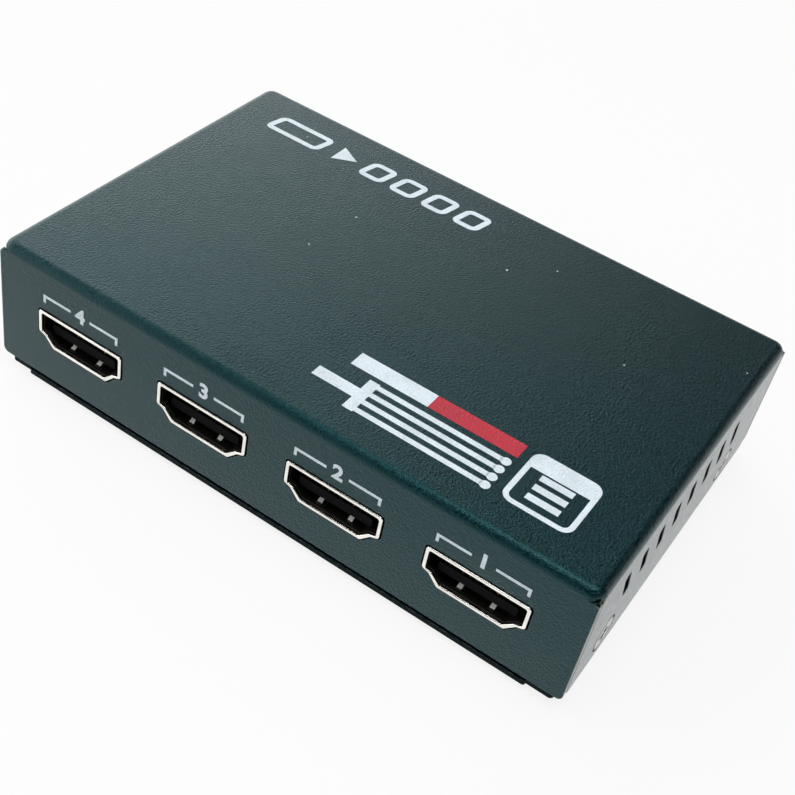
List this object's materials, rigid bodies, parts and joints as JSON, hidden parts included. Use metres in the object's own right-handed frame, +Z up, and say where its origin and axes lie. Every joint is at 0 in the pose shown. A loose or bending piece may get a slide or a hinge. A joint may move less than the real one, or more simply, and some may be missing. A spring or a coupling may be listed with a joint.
{
  "type": "hdmi splitter",
  "caption": "Flat bent-metal box that copies one video input to a row of output sockets; vents and screws in the sides, power jack behind.",
  "frame": {"origin": "on the surface the case stands on, under the middle of the case", "axes": "+X along the width, to the right when the outputs face the viewer; +Y from the outputs to the input side; +Z up"},
  "size_m": [0.094, 0.0614, 0.0224],
  "materials": {
    "case_paint": "fine-textured powder coat, dark teal grey, satin",
    "tray_paint": "fine-textured powder coat, near black",
    "plated_steel": "nickel-plated sheet",
    "zinc_screw": "zinc-plated",
    "black_nylon": "moulded, matt",
    "gold_contact": "gold flash over nickel",
    "tinned_metal": "tin-plated",
    "spring_bronze": "plated phosphor bronze",
    "solder_mask": "green solder mask over glass laminate",
    "chip_resin": "moulded resin",
    "bare_aluminium": "extruded and cleaned",
    "soft_rubber": "matt",
    "silicone_pad": "soft, matt",
    "capacitor_ceramic": "fired, matt",
    "resistor_ceramic": "glazed black",
    "ferrite": "pressed powder",
    "crystal_case": "drawn can",
    "lamp_resin": "tinted clear resin"
  },
  "bodies": {
    "case": {"board_screws": "zinc_screw", "board_standoffs": "zinc_screw", "bottom_tray": "tray_paint", "capacitor_bases": "black_nylon", "capacitor_cans": "bare_aluminium", "ceramic_capacitors": "capacitor_ceramic", "chip_resistors": "resistor_ceramic", "circuit_board": "solder_mask", "clock_crystal": "crystal_case", "control_chip": "chip_resin", "heat_sink": "bare_aluminium", "input_contacts": "gold_contact", "input_insulator": "black_nylon", "input_shell": "plated_steel", "lamp_holder": "black_nylon", "lamp_lead_wires": "tinned_metal", "memory_chips": "chip_resin", "output_1_contacts": "gold_contact", "output_1_insulator": "black_nylon", "output_1_shell": "plated_steel", "output_2_contacts": "gold_contact", "output_2_insulator": "black_nylon", "output_2_shell": "plated_steel", "output_3_contacts": "gold_contact", "output_3_insulator": "black_nylon", "output_3_shell": "plated_steel", "output_4_contacts": "gold_contact", "output_4_insulator": "black_nylon", "output_4_shell": "plated_steel", "power_inductor": "ferrite", "power_jack_housing": "black_nylon", "power_jack_pin": "plated_steel", "power_jack_sleeve_terminal": "tinned_metal", "power_lamp": "lamp_resin", "rubber_feet": "soft_rubber", "side_screws": "zinc_screw", "splitter_chip": "chip_resin", "splitter_chip_leads": "tinned_metal", "surge_arrays": "chip_resin", "thermal_pad": "silicone_pad", "top_cover": "case_paint", "voltage_regulators": "chip_resin"},
    "jack_leaf": {"power_jack_leaf_spring": "spring_bronze"}
  },
  "joints": [
    {"name": "jack_leaf_flex", "type": "hinge", "parent": "case", "child": "jack_leaf", "pos_m": [0.024, 0.0201, 0.01093], "axis": [-1, 0, 0], "range_deg": [0, 2.4], "stiffness_Nm_per_rad": 0.3}
  ]
}
